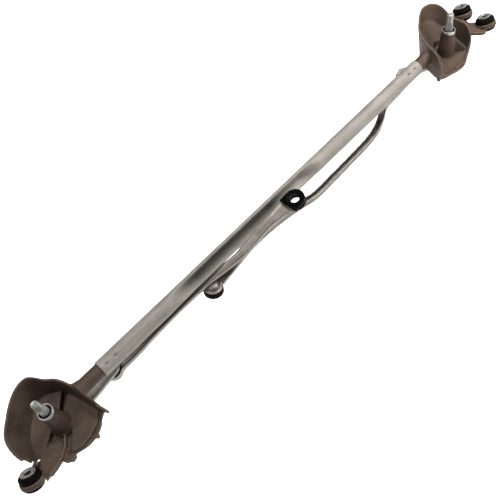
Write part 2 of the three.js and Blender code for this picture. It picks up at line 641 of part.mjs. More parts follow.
/** The snap-in socket about a lever's ball: closed below, open above for the ball's neck. */
function ballSocket() {
  const { body, throat, flange, clearance } = SOCKET;
  const cavity = BALL.radius + clearance;
  const low = -FIT;
  const high = ROD.sheet + FIT;
  const centre = ROD.sheet / 2;
  const mouth = Math.acos(throat / cavity);
  const steps = 7;
  const cup = [];
  for (let i = 0; i <= steps; i += 1) {
    const angle = mouth - ((mouth + Math.PI / 2) * i) / steps;
    cup.push([i === steps ? 0 : cavity * Math.cos(angle), centre + cavity * Math.sin(angle)]);
  }
  const top = centre + cavity * Math.sin(mouth) + 0.8;
  const bottom = centre - cavity - 2;
  const inCup = ROD.cupRadius - ROD.cupWall - FIT;
  return turned([
    [0, bottom], [body - 2.4, bottom], [body - 0.6, bottom + 2], [body - 0.6, low - flange],
    [inCup, low - flange], [inCup, low], [body, low], [body, high],
    [inCup, high], [inCup, high + 1.4], [throat + 3, top], [throat + 0.4, top], ...cup,
  ]);
}

/** The left rod's empty socket: a snapped-in bearing ring with a straight back. */
function openSocket() {
  const { bore, throat, flangeRadius, flange } = EMPTY_SOCKET;
  const low = -FIT;
  const high = ROD.sheet + FIT;
  const bottom = low - flange;
  const top = high + flange;
  const collar = turned([
    [throat, bottom], [flangeRadius - 1.2, bottom], [flangeRadius, bottom + 1.2], [flangeRadius, low],
    [SOCKET.body, low], [SOCKET.body, high], [flangeRadius, high], [flangeRadius, top - 1.4],
    [flangeRadius - 1.6, top], [bore + 2.2, top], [bore + 0.8, top - 0.8], [throat, top - 1.4],
    [throat, top - 2.2], [bore, top - 3], [bore, bottom + 2], [throat, bottom + 1.2], [throat, bottom],
  ]);
  const backHeight = flange - 0.8;
  const back = new THREE.BoxGeometry(flangeRadius, 2 * flangeRadius, backHeight);
  back.translate(-flangeRadius / 2, 0, high + backHeight / 2);
  return collar.add(solid(back).subtract(rod(bore + 2, bottom - 5, top + 5)));
}

/** The right rod's empty socket: plugged up into the rod's dome and open below. */
function domedSocket() {
  const { radius, plug, plugTop, bottom } = DOMED_SOCKET;
  return turned([
    [0, plugTop], [plug, plugTop], [plug, -0.9], [radius, -0.9], [radius, bottom + 1], [radius - 1, bottom],
    [7.4, bottom], [6.9, bottom + 1.4], [7.3, bottom + 3.4], [6.4, bottom + 6.2], [4, bottom + 7.6],
    [0, bottom + 8], [0, plugTop],
  ]);
}

// ---- rubber mounts ----
function grommet(eye) {
  const { radius, neckRadius, bore, top, bottom, neckHeight, edge } = GROMMET;
  const neck = neckHeight / 2;
  return place(turned([
    [bore, bottom], [radius - edge - 1, bottom], [radius - 0.6, bottom + edge], [radius - 0.6, -neck],
    [neckRadius, -neck], [neckRadius, neck], [radius - 0.6, neck], [radius, neck + 0.8],
    [radius, top - edge], [radius - edge, top - 0.4], [radius - edge - 1.4, top], [bore, top], [bore, bottom],
  ]), eyeMatrix(eye));
}

function sleeve(eye) {
  const { outer, inner, flangeRadius, flange } = SLEEVE;
  const low = GROMMET.bottom - 1;
  const seat = GROMMET.top + FIT;
  return place(turned([
    [inner, low], [outer, low], [outer, seat], [flangeRadius, seat],
    [flangeRadius, seat + flange], [inner + 2.6, seat + flange], [inner, seat + flange - 1], [inner, low],
  ]), eyeMatrix(eye));
}

// ---- the assembly ----
const assembly = new THREE.Group();
const linkage = new THREE.Group();
linkage.position.set(...TO_CENTRE);
assembly.add(linkage);

function addPiece(name, finish, body, parent = linkage) {
  const material = new THREE.MeshStandardMaterial(FINISH[finish]);
  const mesh = new THREE.Mesh(toGeometry(body), material);
  mesh.name = name;
  parent.add(mesh);
}

addPiece('cross_tube', 'tube', crossTube());
addPiece('left_pivot_housing', 'casting', leftHousing());
addPiece('right_pivot_housing', 'casting', rightHousing());

for (const side of [LEFT, RIGHT]) {
  const group = new THREE.Group();
  group.applyMatrix4(sideMatrix(side));
  linkage.add(group);
  const washerTop = TOWER.bottom - FIT;
  addPiece(`${side.name}_pivot_shaft`, 'plated', shaft(side), group);
  addPiece(`${side.name}_upper_bush`, 'bronze', bush(side.ringHeight - TOWER.recess - BUSH.length), group);
  addPiece(`${side.name}_lower_bush`, 'bronze', bush(TOWER.bottom + 0.5), group);
  addPiece(`${side.name}_shaft_seal`, 'rubber', recessed(side, BUSH.inner, SEAL.top, SEAL.height), group);
  addPiece(`${side.name}_shim_washer`, 'plated', recessed(side, BUSH.inner, SHIM.top, SHIM.thickness), group);
  addPiece(`${side.name}_retaining_ring`, 'plated', retainingRing(side), group);
  addPiece(`${side.name}_thrust_washer`, 'plastic', ring(11, 6.4, washerTop - 1, washerTop), group);
  addPiece(`${side.name}_crank_lever`, 'zinc', lever(side), group);
  addPiece(`${side.name}_ball_stud`, 'plated', ballStud(side), group);
  for (const eye of side.eyes) {
    addPiece(`${eye.name}_grommet`, 'rubber', grommet(eye), group);
    addPiece(`${eye.name}_sleeve`, 'plated', sleeve(eye), group);
  }
}

const rodParts = [
  [LEFT, LEFT_ROD_PATH, LEFT_INNER, LEFT_BALL],
  [RIGHT, RIGHT_ROD_PATH, RIGHT_INNER, RIGHT_BALL],
];
for (const [side, path, inner, ball] of rodParts) {
  addPiece(`${side.name}_drive_rod`, 'rod', driveRod(side, path, inner, ball));
  const outer = place(ballSocket(), endMatrix(side, outerPoint(ball)));
  addPiece(`${side.name}_rod_outer_socket`, 'plastic', outer);
  const socket = side === LEFT ? openSocket() : domedSocket();
  addPiece(`${side.name}_rod_inner_socket`, 'plastic', place(socket, endMatrix(side, inner)));
}

export default assembly;
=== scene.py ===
"""Looks of a windshield wiper linkage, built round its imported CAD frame.

Lengths are millimetres from the cross tube's middle, as in the CAD. The camera, the lamps, the floor and the
materials are in metres, and so are the widths given to rounded_copy and bevelled_copy.
"""
import json
import math

import bmesh
import bpy
from mathutils import Matrix, Vector


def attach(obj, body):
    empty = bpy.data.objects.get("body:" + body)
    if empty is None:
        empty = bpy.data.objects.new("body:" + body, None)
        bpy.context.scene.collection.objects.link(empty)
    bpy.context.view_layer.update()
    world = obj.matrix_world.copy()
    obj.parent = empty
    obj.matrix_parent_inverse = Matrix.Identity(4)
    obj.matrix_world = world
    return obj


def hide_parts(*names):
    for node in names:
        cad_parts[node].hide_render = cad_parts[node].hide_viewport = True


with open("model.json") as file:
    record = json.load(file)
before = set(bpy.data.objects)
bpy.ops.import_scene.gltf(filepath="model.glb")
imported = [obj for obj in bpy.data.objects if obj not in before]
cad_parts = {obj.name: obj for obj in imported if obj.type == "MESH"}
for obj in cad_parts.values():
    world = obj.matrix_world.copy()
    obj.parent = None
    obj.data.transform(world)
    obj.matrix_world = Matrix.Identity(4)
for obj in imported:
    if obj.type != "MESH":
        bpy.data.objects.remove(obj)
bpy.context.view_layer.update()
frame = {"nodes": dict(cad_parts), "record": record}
NODES = frame["nodes"]

TO_CENTRE = Vector((-67.5, -7.3, 5.4))      # where the tube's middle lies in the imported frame
TO_METRES = Matrix.Scale(0.001, 4) @ Matrix.Translation(TO_CENTRE)

# x is where a wiper shaft crosses the tube's height, lean its tilt in degrees, and ring its tower's height.
LEFT = {"name": "left", "x": -328.0, "lean": -8.5, "ring": 18.0}
RIGHT = {"name": "right", "x": 452.0, "lean": 6.3, "ring": 15.0}
# Each mount's eye: its side, and its centre and axis in that side's frame.
EYES = {
    "left_mount": (LEFT, (-68.5, -25, -22.5), (0.33, 0.5, 0.8)),
    "right_mount_a": (RIGHT, (77, 24, -10), (0, 0.4, 0.92)),
    "right_mount_b": (RIGHT, (76, -18.5, -10), (0, 0.4, 0.92)),
}
ROUND = 72                                  # facets round a turned piece
SAME_POINT = 2e-6                           # metres; closer corners are welded


# ---- camera, lights and floor ----
def camera():
    """The product picture's view, from the front, above and the left."""
    data = bpy.data.cameras.new("camera")
    data.sensor_width = 36.0
    data.lens = 59.04
    data.clip_start = 0.01
    data.clip_end = 200.0
    obj = bpy.data.objects.new("camera", data)
    right = Vector((0.672821, -0.724903, -0.147742))
    up = Vector((0.65366, 0.488975, 0.577609))
    back = Vector((-0.346468, -0.4852, 0.802833))
    turn = Matrix((right, up, back)).transposed().to_4x4()
    obj.matrix_world = Matrix.Translation((-0.444154, -0.541779, 0.847603)) @ turn
    bpy.context.scene.collection.objects.link(obj)
    bpy.context.scene.camera = obj


def softbox(name, place, target, size, watts, spread):
    """A rectangular lamp aimed at a target. spread is in degrees."""
    data = bpy.data.lights.new(name, "AREA")
    data.shape = "RECTANGLE"
    data.size, data.size_y = size
    data.energy = watts
    data.spread = math.radians(spread)
    obj = bpy.data.objects.new(name, data)
    aim = (Vector(target) - Vector(place)).to_track_quat("-Z", "Y")
    obj.matrix_world = Matrix.Translation(place) @ aim.to_matrix().to_4x4()
    bpy.context.scene.collection.objects.link(obj)


def studio():
    """A pale room with two lamps overhead and one at the front."""
    scene = bpy.context.scene
    scene.view_settings.view_transform = "Standard"
    world = bpy.data.worlds.new("studio")
    world.use_nodes = True
    world.node_tree.nodes["Background"].inputs["Color"].default_value = (0.80, 0.80, 0.82, 1)
    world.node_tree.nodes["Background"].inputs["Strength"].default_value = 0.13
    scene.world = world
    softbox("overhead_right", (0.80, -0.05, 1.4), (0.42, 0.0, 0), (0.8, 0.8), 7.7, 80)
    softbox("overhead_left", (-0.70, 0.20, 1.4), (-0.30, 0.0, 0), (0.9, 0.9), 4.8, 100)
    softbox("front_right", (0.80, -0.85, 0.65), (0.45, 0.0, 0), (0.6, 0.6), 3.0, 100)


def floor():
    """A glowing white sheet, wide enough to reach the horizon in a low view."""
    mesh = bpy.data.meshes.new("floor")
    half, height = 40.0, -0.32
    corners = [(x * half, y * half, height) for x, y in ((-1, -1), (1, -1), (1, 1), (-1, 1))]
    mesh.from_pydata(corners, [], [(0, 1, 2, 3)])
    obj = bpy.data.objects.new("floor", mesh)
    bpy.context.scene.collection.objects.link(obj)
    material = bpy.data.materials.new("floor_paper")
    material.use_nodes = True
    shader = material.node_tree.nodes["Principled BSDF"]
    shader.inputs["Base Color"].default_value = (0.80, 0.80, 0.80, 1)
    shader.inputs["Roughness"].default_value = 0.9
    shader.inputs["Specular IOR Level"].default_value = 0.0
    shader.inputs["Emission Color"].default_value = (1, 1, 1, 1)
    shader.inputs["Emission Strength"].default_value = 1.0
    mesh.materials.append(material)


camera()
studio()
floor()


# ---- materials ----
class Nodes:
    """A short way to lay out one material's nodes."""

    def __init__(self, name):
        self.material = bpy.data.materials.new(name)
        self.material.use_nodes = True
        self.tree = self.material.node_tree
        self.shader = self.tree.nodes["Principled BSDF"]
        self.place = self.add("ShaderNodeTexCoord").outputs["Object"]

    def add(self, kind, **settings):
        node = self.tree.nodes.new(kind)
        for key, value in settings.items():
            setattr(node, key, value)
        return node

    def link(self, output, target):
        self.tree.links.new(output, target)

    def feed(self, value, socket):
        """Gives a socket another node's output, a colour or a number."""
        if hasattr(value, "is_output"):
            self.link(value, socket)
        elif isinstance(value, tuple):
            socket.default_value = (*value, 1)
        else:
            socket.default_value = value

    def noise(self, scale, detail=4.0, rough=0.6, stretch=(1, 1, 1)):
        """Noise whose features are 1 / scale metres across, drawn out by stretch."""
        mapping = self.add("ShaderNodeMapping")
        mapping.inputs["Scale"].default_value = stretch
        self.link(self.place, mapping.inputs["Vector"])
        node = self.add("ShaderNodeTexNoise")
        node.inputs["Scale"].default_value = scale
        node.inputs["Detail"].default_value = detail
        node.inputs["Roughness"].default_value = rough
        self.link(mapping.outputs["Vector"], node.inputs["Vector"])
        return node.outputs["Fac"]

    def ramp(self, factor, stops):
        """A colour ramp from (position, colour) stops."""
        node = self.add("ShaderNodeValToRGB")
        ramp = node.color_ramp
        while len(ramp.elements) < len(stops):
            ramp.elements.new(0.5)
        for element, (at, colour) in zip(ramp.elements, stops):
            element.position = at
            element.color = (*colour, 1)
        self.link(factor, node.inputs["Fac"])
        return node.outputs["Color"]

    def mix(self, factor, a, b, blend="MIX"):
        node = self.add("ShaderNodeMix", data_type="RGBA", blend_type=blend)
        self.feed(factor, node.inputs[0])
        self.feed(a, node.inputs[6])
        self.feed(b, node.inputs[7])
        return node.outputs[2]

    def spread(self, factor, low, high, at_low=0.35, at_high=0.65):
        """Runs from low to high while the factor runs from at_low to at_high."""
        node = self.add("ShaderNodeMapRange")
        node.inputs["From Min"].default_value = at_low
        node.inputs["From Max"].default_value = at_high
        node.inputs["To Min"].default_value = low
        node.inputs["To Max"].default_value = high
        self.link(factor, node.inputs["Value"])
        return node.outputs["Result"]

    def product(self, a, b):
        node = self.add("ShaderNodeMath", operation="MULTIPLY")
        self.feed(a, node.inputs[0])
        self.feed(b, node.inputs[1])
        return node.outputs[0]

    def bump(self, height, depth, under=None):
        """depth is the full height of the relief in metres."""
        node = self.add("ShaderNodeBump")
        node.inputs["Strength"].default_value = 1.0
        node.inputs["Distance"].default_value = depth
        self.link(height, node.inputs["Height"])
        if under is not None:
            self.link(under, node.inputs["Normal"])
        return node.outputs["Normal"]

    def worn_edges(self, sharpness=0.51, width=0.04):
        """1 on convex edges and 0 elsewhere."""
        geometry = self.add("ShaderNodeNewGeometry")
        return self.spread(geometry.outputs["Pointiness"], 0.0, 1.0, sharpness, sharpness + width)

    def finish(self, colour, rough, normal, metallic, specular=0.5):
        self.link(colour, self.shader.inputs["Base Color"])
        self.link(rough, self.shader.inputs["Roughness"])
        self.link(normal, self.shader.inputs["Normal"])
        self.shader.inputs["Metallic"].default_value = metallic
        self.shader.inputs["Specular IOR Level"].default_value = specular
        return self.material


def cast_aluminium():
    """Raw die-cast skin: brown-grey, faintly mottled, with fine grain and slightly brighter edges."""
    n = Nodes("cast_aluminium")
    mottle = n.ramp(n.noise(55, 6, 0.62), [(0.30, (0.066, 0.0445, 0.0320)), (0.72, (0.103, 0.0725, 0.0540))])
    grain = n.ramp(n.noise(1500, 3, 0.7), [(0.38, (0.60, 0.58, 0.56)), (0.66, (1.25, 1.24, 1.22))])
    colour = n.mix(0.75, mottle, grain, "MULTIPLY")
    edge = n.worn_edges()
    colour = n.mix(n.product(edge, 0.5), colour, (0.19, 0.149, 0.113))
    rough = n.spread(n.noise(260, 3), 0.52, 0.70)
    normal = n.bump(n.noise(1100, 4, 0.7), 0.00022)
    normal = n.bump(n.noise(240, 3, 0.5), 0.0003, normal)
    return n.finish(colour, rough, normal, 0.25, 0.2)


def drawn_tube():
    """Satin drawn steel: fine streaks along the tube, cloudy patches and specks, with painted shade darkening
    the pressed trough.
    """
    n = Nodes("tube_steel")
    cloud = n.ramp(n.noise(38, 5, 0.6), [(0.32, (0.219, 0.199, 0.176)), (0.70, (0.295, 0.270, 0.242))])
    lines = n.noise(420, 4, 0.6, (0.04, 1, 1))
    streak = n.ramp(lines, [(0.36, (0.80, 0.79, 0.77)), (0.64, (1.12, 1.12, 1.12))])
    colour = n.mix(0.7, cloud, streak, "MULTIPLY")
    speck = n.ramp(n.noise(900, 2, 0.5), [(0.66, (1, 1, 1)), (0.75, (0.62, 0.58, 0.53))])
    colour = n.mix(0.6, colour, speck, "MULTIPLY")
    across = n.add("ShaderNodeMapping")
    across.inputs["Scale"].default_value = (0, 1, 1)
    across.inputs["Location"].default_value = (0, -TO_CENTRE.y / 1000, -TO_CENTRE.z / 1000)
    n.link(n.place, across.inputs["Vector"])
    from_axis = n.add("ShaderNodeVectorMath", operation="LENGTH")
    n.link(across.outputs["Vector"], from_axis.inputs[0])
    along = n.add("ShaderNodeSeparateXYZ")
    n.link(n.place, along.inputs[0])
    # Painted shade: the trough is darkened between its two ends, more the nearer the skin lies to the tube's
    # axis.
    deep = n.spread(from_axis.outputs["Value"], 0.88, 0.0, 0.0040, 0.0098)
    left_end = n.spread(along.outputs["X"], 0.0, 1.0, -0.190, -0.150)
    right_end = n.spread(along.outputs["X"], 1.0, 0.25, -0.010, 0.030)
    trough_painted_shade = n.product(deep, n.product(left_end, right_end))
    colour = n.mix(trough_painted_shade, colour, (0.020, 0.018, 0.016))
    rough = n.spread(lines, 0.56, 0.70)
    normal = n.bump(n.noise(700, 3, 0.6, (0.03, 1, 1)), 0.00005)
    return n.finish(colour, rough, normal, 0.25, 0.3)


def pressed_steel(name, dark, light):
    """Grey-brown strip steel of a pressed rod, clouded between two tones and rubbed brighter on its lips."""
    n = Nodes(name)
    cloud = n.ramp(n.noise(60, 5, 0.6), [(0.30, dark), (0.72, light)])
    lines = n.noise(500, 4, 0.6, (0.06, 1, 1))
    streak = n.ramp(lines, [(0.36, (0.78, 0.77, 0.75)), (0.66, (1.15, 1.15, 1.14))])
    colour = n.mix(0.7, cloud, streak, "MULTIPLY")
    edge = n.worn_edges(0.515, 0.05)
    colour = n.mix(edge, colour, (0.30, 0.28, 0.255))
    rough = n.spread(n.noise(300, 3), 0.34, 0.52)
    normal = n.bump(n.noise(800, 3, 0.6, (0.1, 1, 1)), 0.00008)
    return n.finish(colour, rough, normal, 0.75)


def zinc_plate():
    """Pale, slightly warm zinc plating on the levers."""
    n = Nodes("zinc_plate")
    cloud = n.ramp(n.noise(80, 5, 0.6), [(0.32, (0.27, 0.250, 0.217)), (0.70, (0.35, 0.330, 0.292))])
    grain = n.ramp(n.noise(1600, 3, 0.6), [(0.36, (0.86, 0.85, 0.83)), (0.62, (1.05, 1.05, 1.05))])
    colour = n.mix(0.7, cloud, grain, "MULTIPLY")
    rough = n.spread(n.noise(350, 3), 0.42, 0.60)
    normal = n.bump(n.noise(1200, 3, 0.6), 0.00006)
    return n.finish(colour, rough, normal, 0.25)


def plated_steel():
    """Grey-green zinc-nickel plating on the shafts, studs and small steel rings."""
    n = Nodes("plated_steel")
    cloud = n.ramp(n.noise(160, 5, 0.6), [(0.32, (0.25, 0.252, 0.230)), (0.70, (0.37, 0.372, 0.350))])
    grain = n.ramp(n.noise(2200, 3, 0.6), [(0.36, (0.82, 0.82, 0.80)), (0.62, (1.08, 1.08, 1.06))])
    colour = n.mix(0.7, cloud, grain, "MULTIPLY")
    rough = n.spread(n.noise(500, 3), 0.36, 0.52)
    normal = n.bump(n.noise(2000, 3, 0.6), 0.00004)
    return n.finish(colour, rough, normal, 0.6)


def sleeve_steel():
    """The duller plating of the pressed sleeves in the rubber mounts."""
    n = Nodes("sleeve_steel")
    cloud = n.ramp(n.noise(260, 5, 0.6), [(0.32, (0.20, 0.189, 0.168)), (0.70, (0.31, 0.297, 0.270))])
    grain = n.ramp(n.noise(2200, 3, 0.6), [(0.36, (0.80, 0.80, 0.78)), (0.62, (1.10, 1.10, 1.08))])
    colour = n.mix(0.7, cloud, grain, "MULTIPLY")
    rough = n.spread(n.noise(500, 3), 0.42, 0.58)
    normal = n.bump(n.noise(2000, 3, 0.6), 0.00005)
    return n.finish(colour, rough, normal, 0.6)


def bore_painted_shade():
    """Painted shade for the inside of a mount's sleeve: near-black dull steel standing in for the shade in
    the bore.
    """
    n = Nodes("bore_painted_shade")
    colour = n.ramp(n.noise(300, 4, 0.6), [(0.34, (0.022, 0.020, 0.017)), (0.70, (0.046, 0.042, 0.036))])
    rough = n.spread(n.noise(500, 3), 0.6, 0.8)
    normal = n.bump(n.noise(1500, 3, 0.6), 0.00006)
    return n.finish(colour, rough, normal, 0.3, 0.2)


def bronze():
    """Sintered bronze, faintly mottled."""
    n = Nodes("bronze")
    colour = n.ramp(n.noise(400, 4), [(0.35, (0.30, 0.17, 0.07)), (0.68, (0.46, 0.28, 0.12))])
    rough = n.spread(n.noise(900, 3), 0.42, 0.6)
    normal = n.bump(n.noise(2500, 3, 0.7), 0.00006)
    return n.finish(colour, rough, normal, 0.85)


def machined_rim():
    """The bright faced end of a tower, with turning marks."""
    n = Nodes("machined_rim")
    colour = n.ramp(n.noise(900, 4), [(0.35, (0.28, 0.27, 0.255)), (0.66, (0.40, 0.39, 0.375))])
    rough = n.spread(n.noise(700, 3), 0.24, 0.38)
    normal = n.bump(n.noise(2500, 3, 0.6), 0.00004)
    return n.finish(colour, rough, normal, 0.75)


def black_plastic():
    """Moulded black plastic: satin with a fine spark texture and dusty high spots."""
    n = Nodes("black_plastic")
    dust = n.noise(300, 5, 0.65)
    colour = n.ramp(dust, [(0.35, (0.0012, 0.0012, 0.0013)), (0.72, (0.0035, 0.0035, 0.0035))])
    rough = n.spread(n.noise(600, 3), 0.34, 0.52)
    normal = n.bump(n.noise(1800, 3, 0.6), 0.00006)
    return n.finish(colour, rough, normal, 0.0, 0.02)


def black_rubber():
    """Black rubber with a faint grey bloom."""
    n = Nodes("black_rubber")
    bloom = n.noise(220, 6, 0.65)
    colour = n.ramp(bloom, [(0.34, (0.0022, 0.0021, 0.0020)), (0.74, (0.008, 0.0072, 0.0065))])
    rough = n.spread(n.noise(400, 3), 0.48, 0.70)
    normal = n.bump(n.noise(1500, 4, 0.7), 0.00010)
    return n.finish(colour, rough, normal, 0.0, 0.02)


MATERIALS = {
    "cast_aluminium": cast_aluminium(),
    "tube_steel": drawn_tube(),
    "rod_steel": pressed_steel("rod_steel", (0.106, 0.091, 0.080), (0.165, 0.147, 0.132)),
    "bright_rod_steel": pressed_steel("bright_rod_steel", (0.190, 0.170, 0.150), (0.290, 0.265, 0.240)),
    "zinc_plate": zinc_plate(),
    "plated_steel": plated_steel(),
    "bronze": bronze(),
    "black_plastic": black_plastic(),
    "black_rubber": black_rubber(),
    "machined_rim": machined_rim(),
    "sleeve_steel": sleeve_steel(),
    # a near-black material painted as the shade inside the sleeves' bores
    "bore_painted_shade": bore_painted_shade(),
}
SLOT_OF = {s["node"]: s["material_slot"] for s in frame["record"]["subparts"]}
BODY_OF = {node: body for body, names in frame["record"]["behaviour"]["bodies"].items() for node in names}


# ---- mesh helpers ----
def new_object(name, mesh):
    obj = bpy.data.objects.new(name, mesh)
    bpy.context.scene.collection.objects.link(obj)
    return obj


def mesh_from(name, points, faces):
    """A mesh from points in millimetres."""
    mesh = bpy.data.meshes.new(name)
    mesh.from_pydata([tuple(TO_METRES @ Vector(p)) for p in points], [], faces)
    mesh.validate()
    return mesh


def drop_normals(mesh):
    """Lets go of the normals that came with an imported mesh."""
    if "custom_normal" in mesh.attributes:
        mesh.attributes.remove(mesh.attributes["custom_normal"])


def weld(mesh):
    """Joins corners that meet and turns every face outwards."""
    work = bmesh.new()
    work.from_mesh(mesh)
    bmesh.ops.remove_doubles(work, verts=work.verts, dist=SAME_POINT)
    bmesh.ops.recalc_face_normals(work, faces=work.faces)
    work.to_mesh(mesh)
    work.free()


def shade(mesh, angle):
    """Smooth shading that keeps edges sharper than the angle, in degrees."""
    drop_normals(mesh)
    mesh.polygons.foreach_set("use_smooth", [True] * len(mesh.polygons))
    mesh.set_sharp_from_angle(angle=math.radians(angle))


def stand_for(obj, node, material=None):
    """Makes a finer piece take a CAD node's place."""
    obj.data.materials.clear()
    obj.data.materials.append(MATERIALS[material or SLOT_OF[node]])
    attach(obj, BODY_OF[node])
    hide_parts(node)


def skin(rings, first_cap, last_cap):
    """Points and faces of equal closed rings joined one after another."""
    count = len(rings[0])
    points = [p for ring in rings for p in ring]
    faces = []
    for r in range(len(rings) - 1):
        for i in range(count):
            j = (i + 1) % count
            faces.append((r * count + i, r * count + j, (r + 1) * count + j, (r + 1) * count + i))
    if first_cap:
        faces.append(tuple(range(count - 1, -1, -1)))
    if last_cap:
        faces.append(tuple(range((len(rings) - 1) * count, len(rings) * count)))
    return points, faces


def softened(profile, radius, steps):
    """Rounds every corner between an outline's two ends by up to a radius."""
    out = []
    count = len(profile)
    for i, point in enumerate(profile):
        p = Vector(point)
        if i in (0, count - 1):
            out.append(p)
            continue
        before = Vector(profile[i - 1]) - p
        after = Vector(profile[i + 1]) - p
        if before.length < 1e-6 or after.length < 1e-6:
            continue
        reach = min(radius, 0.45 * before.length, 0.45 * after.length)
        a = p + before.normalized() * reach
        b = p + after.normalized() * reach
        for k in range(steps + 1):
            t = k / steps
            out.append(a * (1 - t) ** 2 + p * 2 * t * (1 - t) + b * t * t)
    return [tuple(p) for p in out]


def side_matrix(side):
    """The frame of one side's leaning shaft."""
    return Matrix.Translation((side["x"], 0, 0)) @ Matrix.Rotation(math.radians(side["lean"]), 4, "Y")


def eye_matrix(name):
    """The frame of a mount's eye, with its axis along Z."""
    side, centre, axis = EYES[name]
    turn = Vector((0, 0, 1)).rotation_difference(Vector(axis).normalized())
    return side_matrix(side) @ Matrix.Translation(centre) @ turn.to_matrix().to_4x4()


def turned(name, profile, matrix, facets=ROUND, shape=None):
    """A turned piece from (radius, height) points. shape(radius, height, angle) may change a radius."""
    rings = []
    for radius, height in profile:
        ring = []
        for i in range(facets):
            angle = 2 * math.pi * i / facets
            r = shape(radius, height, angle) if shape else radius
            ring.append(matrix @ Vector((r * math.cos(angle), r * math.sin(angle), height)))
        rings.append(ring)
    closed = profile[0] == profile[-1]
    smallest_cap = 0.01
    caps = [not closed and end[0] > smallest_cap for end in (profile[0], profile[-1])]
    mesh = mesh_from(name, *skin(rings, *caps))
    weld(mesh)
    shade(mesh, 38)
    return new_object(name, mesh)


def solid_copy(node, name):
    """A welded copy of a CAD node's mesh to work on."""
    mesh = NODES[node].data.copy()
    mesh.name = name
    drop_normals(mesh)
    work = bmesh.new()
    work.from_mesh(mesh)
    bmesh.ops.remove_doubles(work, verts=work.verts, dist=SAME_POINT)
    bmesh.ops.dissolve_limit(work, angle_limit=math.radians(0.5), verts=work.verts, edges=work.edges)
    work.to_mesh(mesh)
    work.free()
    return new_object(name, mesh)


def applied(obj):
    """Swaps an object's mesh for the one its modifiers give."""
    graph = bpy.context.evaluated_depsgraph_get()
    mesh = bpy.data.meshes.new_from_object(obj.evaluated_get(graph))
    obj.modifiers.clear()
    obj.data = mesh
    return obj


def rounded_copy(node, name, voxel, rounds):
    """A CAD node's shape with the soft corners of a casting or a pressing."""
    obj = solid_copy(node, name)
    remesh = obj.modifiers.new("remesh", "REMESH")
    remesh.mode = "VOXEL"
    remesh.voxel_size = voxel
    soften = obj.modifiers.new("soften", "SMOOTH")
    soften.factor = 0.5
    soften.iterations = rounds
    applied(obj)
    shade(obj.data, 60)
    return obj


def bevelled_copy(node, name, width):
    """A CAD node's shape with small rounds on its sharp edges."""
    obj = solid_copy(node, name)
    bevel = obj.modifiers.new("bevel", "BEVEL")
    bevel.width = width
    bevel.segments = 3
    bevel.limit_method = "ANGLE"
    bevel.angle_limit = math.radians(35)
    bevel.use_clamp_overlap = True
    applied(obj)
    shade(obj.data, 40)
    return obj


# ---- cross tube ----
# The places in dent: the trough's start, the start and end of its full depth, and the trough's end.
TUBE = {"left": -251, "right": 375, "radius": 11, "wall": 1.5,
        "dent": (-148, -92, 112, 152), "depth": 15.5, "dent_turn": math.radians(150)}
# Crimp dimples hold the tube on the castings' spigots: place along the tube and angle round it.
DIMPLES = [(x, math.radians(turn))
           for x in (TUBE["left"] + 9, TUBE["left"] + 23, TUBE["right"] - 11, TUBE["right"] - 25)
           for turn in (122, 302)]
DIMPLE = {"depth": 2.3, "width": 2.1, "reach": 5}
# Small pinch marks in the trough: place along the tube and across it.
PINCHES = [(-54, -7.1), (41, -1.3), (48, -0.2)]
PINCH = {"depth": 1.3, "width": 2.0, "reach": 6, "squeeze": 1.1}


def smooth_step(t):
    t = min(1.0, max(0.0, t))
    return t * t * (3 - 2 * t)


def dent_at(x):
    """How deep the pressed trough is at a place along the tube."""
    start, full_from, full_to, end = TUBE["dent"]
    rise = smooth_step((x - start) / (full_from - start))
    fall = smooth_step((end - x) / (end - full_to))
    return TUBE["depth"] * min(rise, fall)


def tube_ring(x, offset, facets):
    """One closed section of the tube's skin; the dent faces the front and somewhat up."""
    depth = dent_at(x)
    middle = TUBE["radius"] - TUBE["wall"] / 2
    nudge = 0.01

    def line(angle):
        facing = max(0.0, math.cos(angle))
        return Vector((middle * math.cos(angle) - depth * facing * facing, middle * math.sin(angle)))

    turn_cos, turn_sin = math.cos(TUBE["dent_turn"]), math.sin(TUBE["dent_turn"])
    ring = []
    for i in range(facets):
        angle = 2 * math.pi * i / facets
        tangent = (line(angle + nudge) - line(angle - nudge)).normalized()
        p = line(angle) + Vector((tangent.y, -tangent.x)) * offset
        if offset > 0 and depth > 1:
            for at, across in PINCHES:
                near = math.hypot(x - at, (p.y - across) * PINCH["squeeze"])
                if near < PINCH["reach"] and math.cos(angle) > 0.1:
                    p.x -= PINCH["depth"] * math.exp(-(near / PINCH["width"]) ** 2)
        y = p.x * turn_cos - p.y * turn_sin
        z = p.x * turn_sin + p.y * turn_cos
        around = math.atan2(z, y)
        for at, turn in DIMPLES:
            off = math.atan2(math.sin(around - turn), math.cos(around - turn)) * TUBE["radius"]
            near = math.hypot(x - at, off)
            if near < DIMPLE["reach"]:
                sink = DIMPLE["depth"] * math.exp(-(near / DIMPLE["width"]) ** 2)
                y -= math.cos(around) * sink
                z -= math.sin(around) * sink
        ring.append(Vector((x, y, z)))
    return ring


def cross_tube():
    """The tube's finer skin, with closer rings where it has dimples and pinch marks."""
    facets = 96
    fine_step, coarse_step = 0.9, 2.6
    places = []
    x = TUBE["left"]
    while x < TUBE["right"]:
        places.append(x)
        dimpled = x < TUBE["left"] + 34 or x > TUBE["right"] - 38
        pinched = -70 < x < -25 or 28 < x < 72
        x += fine_step if dimpled or pinched else coarse_step
    places.append(TUBE["right"])
    half = TUBE["wall"] / 2
    outer = [tube_ring(x, half, facets) for x in places]
    inner = [tube_ring(x, -half, facets) for x in reversed(places)]
    mesh = mesh_from("tube_skin", *skin(outer + inner + [outer[0]], False, False))
    weld(mesh)
    shade(mesh, 50)
    stand_for(new_object("tube_skin", mesh), "cross_tube")


